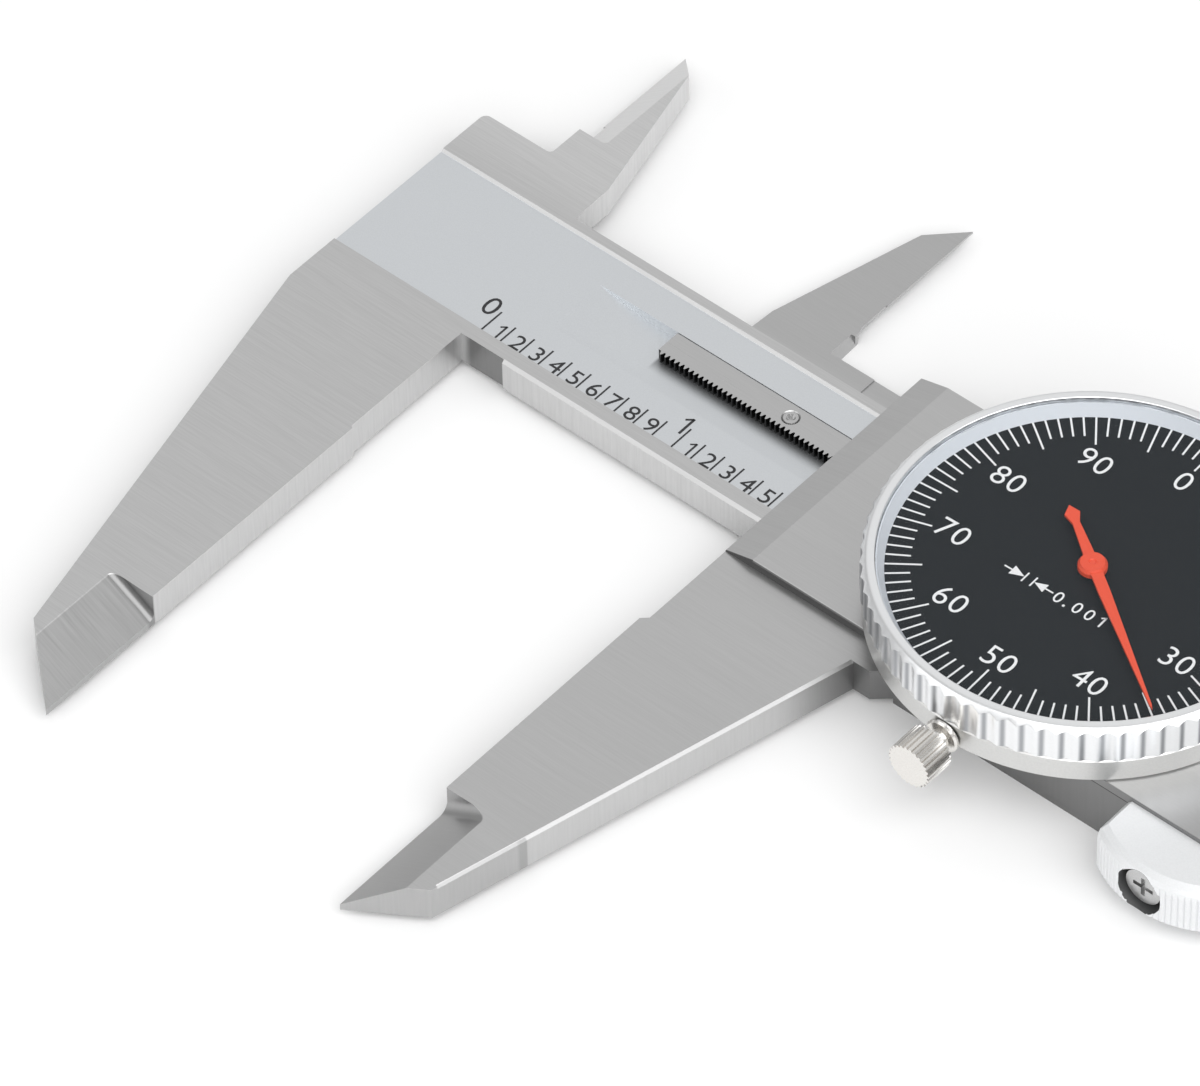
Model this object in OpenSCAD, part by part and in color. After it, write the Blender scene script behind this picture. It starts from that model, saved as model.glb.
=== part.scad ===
// Dial caliper, twelve inch class, shown open by 1.535 inch. Millimetres.
// Everything is laid out from the beam's centre line (Y), its back face (Z)
// and the plane of the fixed measuring face (X). in_frame() then moves it so
// that the origin lies in the middle of the fixed measuring face.

/* [Measuring range] */
// Longest opening between the outside jaws
max_opening = 304.8; // [152.4:25.4:304.8]
// Opening that the model is shown at
opening = 38.99; // [30:0.01:90]

/* [Beam] */
// Width of the beam
beam_w = 20; // [19:0.5:24]
// Thickness of the beam
beam_t = 4.1; // [3.9:0.1:5]
// Length of the head, left of the fixed measuring face
head_len = 19.2; // [18:0.1:24]
// Width of the ground land below the scale's recess
low_land = 2; // [1:0.1:3]
// Width of the ground land above the scale's recess
high_land = 1.4; // [1:0.1:2.5]
// Depth of the recess that holds the scale
recess_depth = 0.3; // [0.1:0.05:0.5]
// Chamfer on the beam's lower front edge
edge_chamfer = 0.35; // [0.1:0.05:0.6]

/* [Outside jaws] */
// Reach of the outside jaws below the beam
jaw_reach = 62.3; // [50:0.1:75]
// Distance from the beam to the upper end of the measuring faces
face_gap = 16.7; // [10:0.1:22]
// Length of the thinned tips
tip_len = 15.8; // [8:0.1:20]
// Width of the bevel on the thinned tips
tip_bevel = 5.45; // [4:0.05:6]
// Thickness left at the edge of the thinned tips
tip_land = 0.8; // [0.5:0.1:1.5]
// Set-back of the fixed jaw above its measuring face
fixed_relief = 0.3; // [0.1:0.05:0.6]
// Set-back of the moving jaw above its measuring face
moving_relief = 0.75; // [0.4:0.05:1]
// Depth of the head below the beam, where the fixed jaw's slope starts
shoulder_drop = 4.83; // [2:0.1:8]
// Width of the moving jaw below the slider
root_w = 19.86; // [16:0.1:22]
// Chamfer along the moving jaw's back
back_chamfer = 0.3; // [0.1:0.05:0.5]
// Radius where the fixed tip's bevel meets the full thickness
fixed_fillet = 0.7; // [0.4:0.1:1.6]
// Radius where the moving tip's bevel meets the full thickness
moving_fillet = 1.2; // [0.6:0.1:1.6]

/* [Inside jaws] */
// Reach of the inside jaws above the beam
inner_reach = 27.45; // [20:0.1:32]
// Distance from the outside measuring plane back to the inside one
inner_offset = 10.55; // [9:0.05:12]
// Length of the inside measuring edges
inner_edge = 13.2; // [8:0.1:15]
// Height above the beam's back at which the two inside jaws pass
lap_z = 0.6; // [0.5:0.05:1]
// Gap between the two inside jaws where they pass
lap_gap = 0.04; // [0.02:0.01:0.1]
// Width of the bevel on the fixed inside jaw
inner_bevel = 3.95; // [3:0.05:5]
// Radius where the inside jaws' bevels meet the full thickness
inner_fillet = 0.5; // [0.3:0.1:0.8]
// Height of the head above the beam
head_rise = 5.5; // [4.8:0.1:7]

/* [Slider] */
// Length of the slider
slider_len = 82.5; // [78:0.5:95]
// Distance from the slider's left edge to the ends of its side walls
wall_from_edge = 21.8; // [21:0.1:24]
// Half the slider's width over its side walls
slider_half = 16.8; // [16.4:0.1:18.5]
// Thickness of the slider's side walls
wall_t = 1.45; // [1:0.05:2]
// Thickness of the front plate
plate_t = 1.07; // [0.8:0.01:1.5]
// Width of the bevel at the front plate's left edge
plate_bevel = 3.46; // [1:0.01:6]
// Height of the chamber between the front plate and the cover
chamber_h = 1.05; // [1:0.05:2]
// Thickness of the cover
cover_t = 1.05; // [0.6:0.05:1.5]
// Thickness of the slider's back
back_t = 0.86; // [0.6:0.02:1.5]
// Running gap between the slider and the beam
slide_gap = 0.04; // [0.02:0.01:0.08]
// Thickness of the gib
gib_t = 0.9; // [0.6:0.05:1.5]

/* [Dial] */
// Distance from the slider's left edge to the dial's centre
dial_from_edge = 34.32; // [30:0.1:40]
// Outer radius of the dial case
case_r = 22.7; // [21.5:0.1:26]
// Height of the dial case
case_h = 2.9; // [2.6:0.1:4]
// Thickness of the case wall
case_wall = 1.55; // [1.2:0.05:2]
// Thickness of the case floor
case_floor = 0.65; // [0.5:0.05:1]
// Amount by which the bezel's flutes stand out over the case
bezel_over = 0.2; // [0.05:0.05:0.5]
// Number of flutes round the bezel
bezel_flutes = 72; // [48:1:96]
// Depth of the bezel's flutes
flute_depth = 0.5; // [0.2:0.05:0.6]
// Height of the bezel's fluted band
band_h = 3.6; // [3:0.1:5]
// Height of the smooth lip above the band
lip_h = 0.8; // [0.5:0.05:1.2]
// Thickness of the bezel's wall inside the flutes
bezel_wall = 1; // [0.6:0.05:1.5]
// Thickness of the dial face
dial_t = 0.5; // [0.3:0.05:0.8]
// Thickness of the crystal
crystal_t = 0.45; // [0.4:0.05:0.9]
// Height of the air space between the dial face and the crystal
dial_gap = 1.35; // [1.3:0.05:1.6]
// Width of the pale ring round the dial face
ring_w = 0.89; // [0.5:0.01:2]
// Distance from the needle's tip to the pale ring
needle_short = 0.66; // [0.3:0.02:3]
// Length of the needle's tail
needle_tail = 8; // [5:0.1:10]
// Reading of the needle in thousandths of an inch
needle_reading = 35; // [0:0.5:100]
// Angle by which the dial is turned, anticlockwise
dial_turn = 1.74; // [-20:0.01:20]

/* [Movement] */
// Pitch of the rack's teeth
rack_pitch = 0.635; // [0.5:0.005:0.8]
// Teeth of the pinion that runs on the rack
rack_pinion_n = 18; // [16:1:20]
// Teeth of the drive gear
drive_n = 90; // [80:1:96]
// Teeth of the centre pinion
centre_n = 20; // [18:1:24]
// Module of the drive gear and the centre pinion
gear_m = 0.15; // [0.12:0.01:0.16]
// Amount by which each tooth is thinned, for backlash
tooth_thin = 0.03; // [0.02:0.005:0.05]
// Distance from the beam's centre line to the rack's pitch line
rack_line = 1.5; // [1:0.1:2]
// Width of the rack behind its pitch line
rack_back = 3.2; // [2.5:0.1:3.5]
// Thickness of the rack
rack_t = 1.2; // [0.8:0.05:1.4]
// Radius of the drive arbor
drive_arbor_r = 0.6; // [0.45:0.05:0.8]
// Radius of the centre arbor
centre_arbor_r = 0.5; // [0.4:0.05:0.6]
// Radial running gap of an arbor in its bush
bush_gap = 0.03; // [0.01:0.01:0.06]

/* [Screws and small parts] */
// Radius of the thumb roller
roller_r = 4.3; // [3.8:0.1:4.6]
// Thickness of the thumb roller
roller_t = 2.6; // [2:0.1:3]
// Radius of the knurled knobs
knob_r = 2.53; // [2:0.05:3]
// Length of the bezel lock's knob
knob_len = 3.5; // [3:0.05:5]
// Width of the depth rod
rod_w = 3.3; // [2.5:0.1:4]
// Length of the depth rod that is fixed behind the slider
rod_hold = 22; // [20:0.5:30]
// Distance from the thumb piece's left end to the slider's right end
bracket_from_end = 30; // [28:0.1:34]
// Thickness of the depth rod
rod_t = 1.1; // [0.8:0.05:1.2]

/* [Hidden] */
$fn = 64;

over = 1;
sweep = 40;
relief_end = 5.45;
pressure_angle = 20;
seat_gap = 0.01;
half_w = beam_w / 2;

// Outside jaws
tip_y = -half_w - jaw_reach;
face_top = -half_w - face_gap;
bevel_y = tip_y + tip_len;
bevel_rise = beam_t - tip_land;
bevel_angle = atan(bevel_rise / tip_bevel);
tip_cut = 6.1;
tip_w = 7.11;
fixed_face_mid = (face_top + bevel_y) / 2;

// Inside jaws
inner_tip = half_w + inner_reach;
inner_start = inner_tip - inner_edge;
inner_land = 0.25;
head_top = half_w + head_rise;
bridge_top = head_top - 0.7;
inner_wall = head_top + 4.6;
notch_top = bridge_top + 3.9;
notch_lean = 0.35;
inner_tip_w = 3.8;
lap_up = lap_z + lap_gap / 2;
lap_down = lap_z - lap_gap / 2;

// Slider, from the back to the cover
slider_x = opening + moving_relief;
slider_end = slider_x + slider_len;
travel_open = max_opening - opening;
front_z = beam_t + slide_gap;
plate_top = front_z + plate_t;
cover_z = plate_top + chamber_h;
case_z = cover_z + cover_t;
back_z = -slide_gap - back_t;
plate_half = slider_half - wall_t;
rail_in = half_w + slide_gap;
gib_out = rail_in + gib_t;
upper_in = gib_out + slide_gap;
wall_x = slider_x + wall_from_edge;
back_x = wall_x + 1;
jaw_corner_y = -slider_half - 1.6;
jaw_root_x = opening + root_w;

// Dial
dial_x = slider_x + dial_from_edge;
bezel_r = case_r + bezel_over;
case_in = case_r - case_wall;
case_hole = plate_half + 0.25;
case_top = case_z + case_h;
band_z = case_top + 0.1;
band_top = band_z + band_h;
lip_top = band_top + lip_h;
bezel_pocket = bezel_r - flute_depth - bezel_wall;
skirt_out = case_in - 0.05;
skirt_in = skirt_out - 0.6;
skirt_z = case_z + case_floor + 0.1;
crystal_z = lip_top - 0.1 - crystal_t;
dial_top = crystal_z - dial_gap;
dial_z = dial_top - dial_t;
ring_out = bezel_pocket - 0.05;
dial_view = ring_out - ring_w;
needle_len = dial_view - needle_short;
hub_r = 1.5;
needle_angle = -(needle_reading * 3.6 - dial_turn);

// Movement: gear centres and levels
rack_m = rack_pitch / PI;
rack_pinion_r = rack_m * rack_pinion_n / 2;
drive_r = gear_m * drive_n / 2;
centre_r = gear_m * centre_n / 2;
drive_y = rack_line - rack_pinion_r;
gear_dx = sqrt(pow(drive_r + centre_r, 2) - pow(drive_y, 2));
drive_x = dial_x - gear_dx;
mesh_angle = atan2(-drive_y, gear_dx);
groove_z = beam_t - recess_depth - rack_t - 0.1;
rack_top = groove_z + rack_t;
groove_low = drive_y - rack_pinion_r - rack_m - 0.4;
groove_high = rack_line + rack_back + 0.05;
rack_start = 16.35;
cutter_r = 41.5;
rack_n = floor((drive_x + travel_open + 12 - rack_start) / rack_pitch);
rack_first = drive_x - rack_pitch * floor((drive_x - rack_start) / rack_pitch - 0.6);
rack_end = rack_first + rack_pitch * (rack_n - 0.5);
rivet_x0 = 32.75;
rivet_step = 51.5;
rivet_n = floor((rack_end - rivet_x0 - 2) / rivet_step) + 1;
rivet_y = rack_line + rack_back - 1.6;
rivet_r = 0.8;
plate2_t = chamber_h - 0.05;
movement_r = plate_half - 0.15;
gear_z = case_z + 0.05;
gear_t = 0.45;
bridge_z = gear_z + 2.5;
bridge_t = 0.9;
pillars = [[drive_x - 0.3, drive_y + 10.2], [drive_x - 0.3, drive_y - 10.2], [dial_x + 9, 0]];
pillar_r = 1.3;
screw_r = 0.7;
head_r = 1.25;

// Depth rod
rod_slot = rod_w + 0.2;
rod_depth = rod_t + 0.1;
rod_x = slider_end - rod_hold;
stop_x = slider_x + slider_len + travel_open + 0.4;
stop_len = 3;
beam_end = stop_x + stop_len + 0.55;

// Thumb piece
bracket_x = slider_end - bracket_from_end;
bracket_c = [bracket_x + 6.7, -slider_half + 5.75];
bracket_r = 12.5;
bracket_z = 0.8;
bracket_h = 6;
bracket_front = bracket_c[1] - bracket_r;
bracket_screw_x = bracket_x + 6.5;
bracket_pin_x = bracket_x + 13.6;
bracket_hole_z = beam_t - 0.3;
bracket_seat = -slider_half - 4.5;
roller_gap = 0.05;
roller_c = [slider_end - 6.4, -half_w - roller_r - roller_gap];
roller_z = (beam_t - roller_t) / 2;
roller_pin_r = 0.6;
thumb_hole_r = 2.65;

// Locks
lock_z = case_z + case_floor + 0.35;
lock_neck = -case_r - 2.1;
slider_lock_x = bracket_x + 14;
slider_lock_z = beam_t / 2;
shoe_travel = 0.2;

plate_screw_at = [[slider_x + 30, 12.6], [slider_x + 30, -12.6], [slider_end - 18, 12.6], [slider_end - 18, -12.6]];
back_screw_at = [[back_x + 5, 13.9], [back_x + 5, -13.4], [slider_end - 18, 13.9], [slider_end - 18, -13.4]];
cover_screw_at = [[slider_end - 13, 12.6], [slider_end - 13, -12.6]];
case_screw_at = [for (a = [52, 128, 232, 308]) [dial_x + 17.3 * cos(a), 17.3 * sin(a)]];
movement_screw_at = [for (a = [50, 180, -50]) [dial_x + 13.2 * cos(a), 13.2 * sin(a)]];
rod_rivet_at = [[rod_x + 5, 0], [rod_x + 15, 0]];
gib_screw_x = [back_x + 12, slider_lock_x + 9];

// Moves from the beam's own layout to the frame, whose origin is the middle
// of the fixed measuring face.
module in_frame() {
  translate([0, -fixed_face_mid, -beam_t / 2]) children();
}

// A box from one corner to the other.
module box(a, b) {
  translate(a) cube(b - a);
}

// A pin or hole along Z.
module rod_z(p, r, z0, z1) {
  translate([p[0], p[1], z0]) cylinder(r = r, h = z1 - z0);
}

// A pin or hole along Y, from y0 towards +Y.
module rod_y(x, z, r, y0, y1) {
  translate([x, y1, z]) rotate([90, 0, 0]) cylinder(r = r, h = y1 - y0);
}

// A ring profile turned about Z at p.
module turned(p) {
  translate([p[0], p[1], 0]) rotate_extrude($fn = 96) children();
}

// A wheel blank: points of n straight-flanked teeth, the first one centred
// at the angle a. s is the half tooth thickness on the pitch circle.
function gear_points(n, r, m, a, add, ded) =
  let (s = PI * r / n / 2 - tooth_thin / 2, slope = tan(pressure_angle))
  [for (i = [0 : n - 1], k = [0 : 3])
    let (
      up = k == 1 || k == 2,
      rad = up ? r + add * m : r - ded * m,
      half = up ? s - add * m * slope : s + ded * m * slope,
      side = k < 2 ? -1 : 1,
      ang = a + i * 360 / n + side * half / rad * 180 / PI
    ) [rad * cos(ang), rad * sin(ang)]];

// A toothed disc with its first tooth at the angle a.
module toothed(p, n, r, m, a, z0, z1, add = 0.95, ded = 1.25) {
  translate([p[0], p[1], z0]) linear_extrude(z1 - z0) polygon(gear_points(n, r, m, a, add, ded));
}

// A knurled outline: n flutes between the radii r and r - d.
function flute_points(n, r, d) =
  [for (i = [0 : n - 1], k = [0 : 3])
    let (rad = k < 2 ? r : r - d, ang = (i + [0, 0.36, 0.5, 0.86][k]) * 360 / n)
    [rad * cos(ang), rad * sin(ang)]];

// A flat bar with a round boss at each end, seen from above.
module bar(p, q, w) {
  d = q - p;
  boss_r = w / 2 + 0.25;
  translate(p) rotate(atan2(d[1], d[0])) translate([0, -w / 2]) square([norm(d), w]);
  translate(p) circle(r = boss_r);
  translate(q) circle(r = boss_r);
}

// Points of a quarter of a circle from the angle a, anticlockwise for side = 1.
function bend(c, r, a, side) = [for (i = [0 : 6]) c + r * [cos(a + side * i * 15), sin(a + side * i * 15)]];

// A chamfer cutter. The sharp edge lies on the X axis, from 0 to len.
module edge_cut(len, c) {
  s = c * sqrt(2);
  rotate([45, 0, 0]) translate([0, -s / 2, -s / 2]) cube([len, s, s]);
}

// The space that a bevel leaves free. The measuring edge runs along Y at the
// origin and the bevel climbs towards -X. It ends at wall_y in a fillet.
module bevel_space(angle, free_y, wall_y, fillet) {
  up = sweep / 3;
  end_y = wall_y > free_y ? wall_y - fillet : wall_y + fillet;
  rotate([0, angle, 0]) translate([-sweep, 0, 0]) rotate([90, 0, 90]) linear_extrude(sweep + 5) union() {
    polygon([[free_y, 0], [end_y, 0], [end_y, up], [free_y, up]]);
    polygon([[end_y, fillet], [wall_y, fillet], [wall_y, up], [end_y, up]]);
    translate([end_y, fillet]) circle(r = fillet);
  }
}

// Groove for the rack: flat floor with a round run-out at both ends.
module rack_groove() {
  y0 = groove_low;
  w = groove_high - groove_low;
  translate([rack_start - 0.1, y0, groove_z]) cube([rack_end + 0.5 - rack_start, w, beam_t]);
  for (x = [rack_start - 0.1, rack_end + 0.4])
    intersection() {
      translate([x, y0 + w, groove_z + cutter_r]) rotate([90, 0, 0]) cylinder(r = cutter_r, h = w, $fn = 200);
      translate([x - 15, y0 - over, groove_z - over]) cube([30, w + 2 * over, beam_t + over]);
    }
}

// Outline of the head with both fixed jaws and the beam.
module beam_outline() {
  root_x = -inner_offset + 0.4;
  translate([-head_len, -half_w]) square([head_len + beam_end, beam_w]);
  polygon([[-head_len, -half_w + over], [-head_len, -half_w - shoulder_drop], [-tip_w, tip_y + tip_cut],
    [0, tip_y], [0, face_top], [-fixed_relief, face_top + 0.2], [-fixed_relief, -half_w + over]]);
  polygon(concat([[-1.95, half_w - over], [-1.95, half_w], [-2.08, half_w + 1.5], [-2.12, head_top - 0.15],
    [-inner_offset + 4, inner_tip - 4.1], [-inner_offset, inner_tip], [-inner_offset, inner_start],
    [root_x, inner_start]], bend([root_x - 0.6, head_top + 0.6], 0.6, 0, -1),
    bend([-head_len + 0.8, head_top - 0.8], 0.8, 90, 1), [[-head_len, half_w - over]]));
}

module beam() {
  color([0.72, 0.73, 0.74]) in_frame() difference() {
    linear_extrude(beam_t) beam_outline();
    // Recess for the scale, open at the left end
    box([-head_len - over, -half_w + low_land, beam_t - recess_depth],
      [beam_end + over, half_w - high_land, beam_t + over]);
    // Its upper wall leans back
    translate([-head_len - over, half_w - high_land, beam_t - recess_depth]) rotate([45, 0, 0])
      cube([head_len + beam_end + 2 * over, over, over]);
    rack_groove();
    // Thin grinding relief where the fixed jaw meets the beam
    box([-fixed_relief, -half_w - over, -over], [relief_end, -half_w + 0.3, beam_t + over]);
    // Chamfer along the lower front edge
    translate([relief_end, -half_w, beam_t]) edge_cut(beam_end, edge_chamfer);
    // Room for the moving inside jaw behind the head
    box([-head_len - over, half_w, -over], [over, inner_tip + over, lap_up]);
    // Bevelled tips
    translate([0, 0, tip_land]) bevel_space(bevel_angle, tip_y - over, bevel_y, fixed_fillet);
    translate([-inner_offset, 0, lap_up + inner_land]) mirror([1, 0, 0])
      bevel_space(atan((beam_t - lap_up - inner_land) / inner_bevel), inner_tip + over, inner_wall, inner_fillet);
    // Groove for the depth rod in the back
    box([rod_x - opening - 2, -rod_slot / 2, -over], [beam_end + over, rod_slot / 2, rod_depth]);
    for (i = [0 : rivet_n - 1]) rod_z([rivet_x0 + i * rivet_step, rivet_y], rivet_r + seat_gap, groove_z - 1, beam_t);
    for (s = [-1, 1]) rod_z([stop_x + stop_len / 2, s * 5], screw_r, beam_t - recess_depth - 2.2, beam_t);
  }
}

// Rack with straight-flanked teeth facing -Y, all in one strip.
module rack() {
  add = rack_m * 0.95;
  ded = rack_m * 1.25;
  s = rack_pitch / 4 - tooth_thin / 2;
  slope = tan(pressure_angle);
  teeth = [for (i = [0 : rack_n - 1], k = [0 : 3])
    let (
      up = k == 1 || k == 2,
      half = up ? s - add * slope : s + ded * slope,
      x = rack_first + i * rack_pitch + (k < 2 ? -half : half)
    ) [x, up ? rack_line - add : rack_line + ded]];
  color([0.62, 0.62, 0.62]) in_frame() difference() {
    translate([0, 0, groove_z]) linear_extrude(rack_t) polygon(concat(
      [[rack_start, rack_line + rack_back], [rack_start, rack_line + ded]], teeth,
      [[rack_end, rack_line + ded], [rack_end, rack_line + rack_back]]));
    for (i = [0 : rivet_n - 1]) {
      rod_z([rivet_x0 + i * rivet_step, rivet_y], rivet_r + seat_gap, 0, beam_t);
      // Small countersink round the pin
      turned([rivet_x0 + i * rivet_step, rivet_y]) polygon([[0, rack_top - 0.2], [rivet_r + seat_gap, rack_top - 0.2],
        [rivet_r + 0.31, rack_top + 0.1], [0, rack_top + 0.1]]);
    }
  }
}

// Pins of the rack, each with a hollow end.
module rack_rivets() {
  color([0.55, 0.55, 0.55]) in_frame() for (i = [0 : rivet_n - 1]) difference() {
    rod_z([rivet_x0 + i * rivet_step, rivet_y], rivet_r, groove_z - 1, rack_top);
    turned([rivet_x0 + i * rivet_step, rivet_y]) polygon([[0, rack_top - 0.4], [0.3, rack_top - 0.4],
      [0.55, rack_top + 0.1], [0, rack_top + 0.1]]);
  }
}

module end_stop() {
  color([0.6, 0.6, 0.62]) in_frame() difference() {
    box([stop_x, -7.5, beam_t - recess_depth], [stop_x + stop_len, 7.5, plate_top]);
    for (s = [-1, 1]) {
      rod_z([stop_x + stop_len / 2, s * 5], screw_r + 0.05, 0, plate_top + over);
      rod_z([stop_x + stop_len / 2, s * 5], head_r + 0.05, plate_top - 0.7, plate_top + over);
    }
  }
}

// A cheese-headed screw with a slot. The head's top is at z, and the screw
// points down; up = -1 turns it over.
module screw(p, z, shank, up = 1, r = screw_r, hr = head_r, head = 0.65) {
  translate([p[0], p[1], z]) mirror([0, 0, up > 0 ? 0 : 1]) difference() {
    union() {
      translate([0, 0, -head]) cylinder(r = hr, h = head);
      translate([0, 0, -head - shank]) cylinder(r = r - seat_gap, h = shank + 0.05);
    }
    translate([-hr - over, -0.15, -0.3]) cube([2 * hr + 2 * over, 0.3, over]);
  }
}

module end_stop_screws() {
  color([0.5, 0.5, 0.52]) in_frame()
    for (s = [-1, 1]) screw([stop_x + stop_len / 2, s * 5], plate_top, 2.8);
}

// Outline of the moving outside jaw and the lower rail.
module moving_jaw_outline() {
  polygon([[opening, tip_y], [opening + tip_w + 0.45, tip_y + 5], [jaw_root_x, jaw_corner_y],
    [jaw_root_x + 2.1, jaw_corner_y], [wall_x + 1.2, -slider_half], [slider_end, -slider_half],
    [slider_end, -rail_in], [slider_x, -rail_in], [slider_x, face_top - 0.2], [opening, face_top - 0.9]]);
}

// Outline of the moving inside jaw and the strip that ties it to the slider.
module moving_inner_outline() {
  x = opening - inner_offset;
  polygon([[x, inner_tip], [x - inner_tip_w, inner_tip - inner_tip_w], [x - 8.6, head_top],
    [x - 8.8, half_w + 2.5], [x - 8.8, half_w + slide_gap], [slider_x + 2, half_w + slide_gap],
    [slider_x + 2, bridge_top], [x + notch_lean, bridge_top], [x + 0.2, notch_top], [x - 0.1, notch_top + 0.9],
    [x - 0.15, inner_start - 0.6], [x, inner_start - 0.6]]);
}

module slider_body() {
  inner_x = opening - inner_offset;
  jaw_h = lap_down - back_z;
  jaw_lean = notch_lean + 0.28;
  back_edge = [jaw_root_x - opening - tip_w - 0.45, jaw_corner_y - tip_y - 5];
  color([0.7, 0.71, 0.72]) in_frame() difference() {
    union() {
      linear_extrude(front_z) moving_jaw_outline();
      // Back web that ties both rails together
      box([slider_x, -slider_half + 1.5, back_z], [back_x, plate_half, -slide_gap]);
      box([slider_x, -slider_half + 1.5, back_z], [back_x, -rail_in, 1]);
      box([slider_x, rail_in, back_z], [back_x, plate_half, lap_down - 0.2]);
      // Upper rail
      box([slider_x, upper_in, back_z + 0.2], [back_x, plate_half, front_z]);
      box([wall_x, upper_in, -slide_gap], [slider_end, slider_half, front_z]);
      // Side walls beside the movement
      box([wall_x, -slider_half, over], [slider_end, -plate_half, cover_z]);
      box([wall_x, plate_half, over], [slider_end, slider_half, cover_z]);
      box([slider_end - wall_t, -slider_half, over], [slider_end, -rail_in - 4, cover_z]);
      box([slider_end - wall_t, upper_in, over], [slider_end, slider_half, cover_z]);
      translate([0, 0, back_z]) linear_extrude(lap_down - back_z) moving_inner_outline();
    }
    // The strip behind the head is a little thinner next to the slider
    box([inner_x + 5.6, half_w, lap_down - 0.15], [slider_x, bridge_top + over, lap_down + over]);
    translate([opening, 0, tip_land]) mirror([1, 0, 0]) bevel_space(bevel_angle, tip_y - over, bevel_y, moving_fillet);
    // Chamfer along the back of the outside jaw
    translate([opening + tip_w + 0.45, tip_y + 5, front_z]) rotate(atan2(back_edge[1], back_edge[0]))
      translate([0.7, 0, 0]) edge_cut(norm(back_edge) - 0.7, back_chamfer);
    // Knife edge of the inside jaw, bevelled on its back
    translate([inner_x, 0, lap_down - inner_land]) mirror([0, 0, 1])
      bevel_space(atan((jaw_h - inner_land) / 2.4), inner_tip + over, notch_top, inner_fillet);
    // Leaning wall of the notch beside the strip
    translate([inner_x, notch_top - 0.5, 0]) rotate([90, 0, 0]) linear_extrude(notch_top - 0.5 - bridge_top)
      polygon([[-0.28 - jaw_lean, lap_down + jaw_h], [notch_lean + jaw_lean, back_z - jaw_h],
        [notch_lean + 3, back_z - jaw_h], [notch_lean + 3, lap_down + jaw_h]]);
    // Window for the thumb roller
    rod_z(roller_c, roller_r + 0.4, roller_z - 0.15, roller_z + roller_t + 0.15);
    rod_z(roller_c, roller_pin_r + seat_gap, -over, front_z + over);
    for (x = [bracket_screw_x, bracket_pin_x])
      rod_y(x, bracket_hole_z, screw_r, -slider_half - over, -plate_half);
    for (p = plate_screw_at) rod_z(p, screw_r, 1.4, front_z + over);
    for (p = back_screw_at) rod_z(p, screw_r, -over, 2);
    for (p = concat(cover_screw_at, case_screw_at)) rod_z(p, screw_r, front_z - 2, cover_z + over);
    for (x = gib_screw_x) rod_y(x, slider_lock_z, screw_r, half_w, slider_half + over);
    rod_y(slider_lock_x, slider_lock_z, 1 + bush_gap, half_w, slider_half + over);
  }
}

// Front plate over the beam, bevelled at its left edge.
module front_plate() {
  color([0.76, 0.76, 0.74]) in_frame() difference() {
    translate([0, plate_half - 0.02, 0]) rotate([90, 0, 0]) linear_extrude(2 * plate_half - 0.04) polygon([
      [slider_x, front_z], [slider_x, front_z + 0.12], [slider_x + plate_bevel, plate_top],
      [slider_end - wall_t - 0.02, plate_top], [slider_end - wall_t - 0.02, front_z]]);
    // The lower edge is broken as far as the side wall
    translate([slider_x + plate_bevel, -plate_half + 0.02, plate_top]) edge_cut(wall_x - slider_x - plate_bevel, 0.15);
    rod_z([drive_x, drive_y], rack_pinion_r + rack_m + 0.6, 0, plate_top + over);
    for (p = plate_screw_at) {
      rod_z(p, screw_r + 0.05, 0, plate_top + over);
      rod_z(p, head_r + 0.05, plate_top - 0.65, plate_top + over);
    }
    for (p = movement_screw_at) rod_z(p, screw_r, 0, plate_top + over);
    for (p = concat(cover_screw_at, case_screw_at)) rod_z(p, screw_r + 0.05, 0, plate_top + over);
    rod_z(roller_c, roller_pin_r + seat_gap, 0, plate_top + over);
  }
}

module front_plate_screws() {
  color([0.5, 0.5, 0.52]) in_frame() for (p = plate_screw_at) screw(p, plate_top, 2);
}

// Cover over the movement, open in the middle under the dial case.
module cover() {
  color([0.83, 0.83, 0.82]) in_frame() difference() {
    box([wall_x, -slider_half, cover_z], [slider_end, slider_half, case_z]);
    rod_z([dial_x, 0], case_hole, 0, case_z + over);
    for (p = cover_screw_at) {
      rod_z(p, screw_r + 0.05, 0, case_z + over);
      rod_z(p, head_r + 0.05, case_z - 0.65, case_z + over);
    }
    for (p = case_screw_at) rod_z(p, screw_r + 0.05, 0, case_z + over);
  }
}

module cover_screws() {
  color([0.5, 0.5, 0.52]) in_frame() for (p = cover_screw_at) screw(p, case_z, cover_t + chamber_h + plate_t + 0.9);
}

// Back plate behind the beam, held by four screws.
module back_plate() {
  color([0.7, 0.7, 0.7]) in_frame() difference() {
    box([back_x + 0.05, -slider_half + 0.1, back_z], [slider_end, slider_half - 0.1, -slide_gap]);
    for (p = back_screw_at) {
      rod_z(p, screw_r + 0.05, back_z - over, over);
      rod_z(p, head_r + 0.05, back_z - over, back_z + 0.6);
    }
    for (p = rod_rivet_at) rod_z(p, rivet_r + seat_gap, back_z - over, over);
    rod_z(roller_c, roller_pin_r + seat_gap, back_z - over, over);
  }
}

module back_plate_screws() {
  color([0.5, 0.5, 0.52]) in_frame() for (p = back_screw_at) screw(p, back_z, 2, -1, head = 0.6);
}

// Gib that takes up the wear between the slider and the beam's upper edge.
module gib() {
  color([0.78, 0.62, 0.32]) in_frame() difference() {
    box([back_x + 0.3, rail_in, 0.3], [slider_end - 0.3, gib_out, beam_t - 0.4]);
    for (x = gib_screw_x) rod_y(x, slider_lock_z, screw_r + 0.1, gib_out - 0.3, gib_out + over);
    rod_y(slider_lock_x, slider_lock_z, 1.05, 0, gib_out + over);
  }
}

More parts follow.
